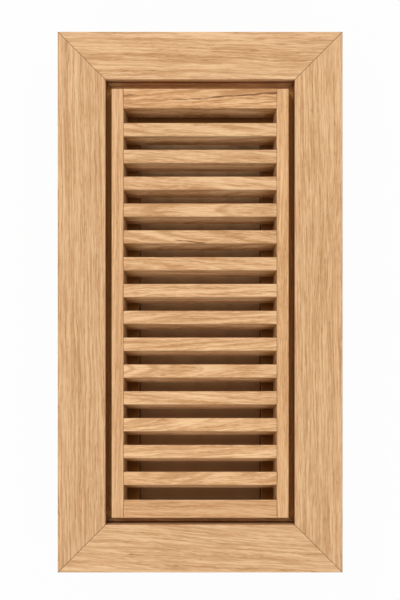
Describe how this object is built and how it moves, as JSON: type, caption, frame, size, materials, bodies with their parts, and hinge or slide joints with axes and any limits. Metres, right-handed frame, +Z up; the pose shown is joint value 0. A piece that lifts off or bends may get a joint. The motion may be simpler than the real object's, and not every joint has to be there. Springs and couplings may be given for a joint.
{
  "type": "floor register",
  "caption": "Flush oak floor register: mitred frame, drop-in louvred insert and, below it, a sheet-steel damper box with ganged blades worked by a lever.",
  "frame": {"origin": "middle of the register's outline, at the height where the damper box ends below", "axes": "+X across the register, +Y along it towards the linkage end, +Z up out of the floor"},
  "size_m": [0.225, 0.427, 0.0441],
  "materials": {
    "oak": "planed oak, satin sealer",
    "box_paint": "dark brown, satin",
    "blade_paint": "tan brown, satin",
    "zinc_steel": "zinc plated"
  },
  "bodies": {
    "register": {"frame_side_right": "oak", "frame_side_left": "oak", "frame_end_top": "oak", "frame_end_bottom": "oak", "mitre_splines": "oak", "stile_right": "oak", "stile_left": "oak", "end_rail_top": "oak", "end_rail_bottom": "oak", "slat_01": "oak", "slat_02": "oak", "slat_03": "oak", "slat_04": "oak", "slat_05": "oak", "slat_06": "oak", "slat_07": "oak", "slat_08": "oak", "slat_09": "oak", "slat_10": "oak", "slat_11": "oak", "slat_12": "oak", "slat_13": "oak", "slat_14": "oak", "damper_side_right": "box_paint", "damper_side_left": "box_paint", "damper_end_top": "box_paint", "damper_end_bottom": "box_paint", "flange_screws": "zinc_steel"},
    "right_blade": {"blade_right": "blade_paint", "rod_right": "zinc_steel", "rod_caps_right": "zinc_steel", "link_rivet_right": "zinc_steel", "lever": "zinc_steel"},
    "mid_right_blade": {"blade_mid_right": "blade_paint", "rod_mid_right": "zinc_steel", "rod_caps_mid_right": "zinc_steel", "link_rivet_mid_right": "zinc_steel", "crank_mid_right": "zinc_steel"},
    "mid_left_blade": {"blade_mid_left": "blade_paint", "rod_mid_left": "zinc_steel", "rod_caps_mid_left": "zinc_steel", "link_rivet_mid_left": "zinc_steel", "crank_mid_left": "zinc_steel"},
    "left_blade": {"blade_left": "blade_paint", "rod_left": "zinc_steel", "rod_caps_left": "zinc_steel", "link_rivet_left": "zinc_steel", "crank_left": "zinc_steel"},
    "link": {"link_bar": "zinc_steel"}
  },
  "joints": [
    {"name": "right_blade_turn", "type": "hinge", "parent": "register", "child": "right_blade", "pos_m": [0.03712, -0.01065, 0.01569], "axis": [0, 1, 0], "range_deg": [0, 85]},
    {"name": "mid_right_blade_turn", "type": "hinge", "parent": "register", "child": "mid_right_blade", "pos_m": [0.01238, -0.01065, 0.01569], "axis": [0, 1, 0], "range_deg": [0, 85]},
    {"name": "mid_left_blade_turn", "type": "hinge", "parent": "register", "child": "mid_left_blade", "pos_m": [-0.01238, -0.01065, 0.01569], "axis": [0, 1, 0], "range_deg": [0, 85]},
    {"name": "left_blade_turn", "type": "hinge", "parent": "register", "child": "left_blade", "pos_m": [-0.03712, -0.01065, 0.01569], "axis": [0, 1, 0], "range_deg": [0, 85]},
    {"name": "link_turn", "type": "hinge", "parent": "right_blade", "child": "link", "pos_m": [0.04321, 0.13715, 0.00906], "axis": [0, 1, 0], "range_deg": [-85, 0]}
  ],
  "couplings": [
    {"joint": "mid_right_blade_turn", "follows": "right_blade_turn", "ratio": 1},
    {"joint": "mid_left_blade_turn", "follows": "right_blade_turn", "ratio": 1},
    {"joint": "left_blade_turn", "follows": "right_blade_turn", "ratio": 1},
    {"joint": "link_turn", "follows": "right_blade_turn", "ratio": -1}
  ]
}
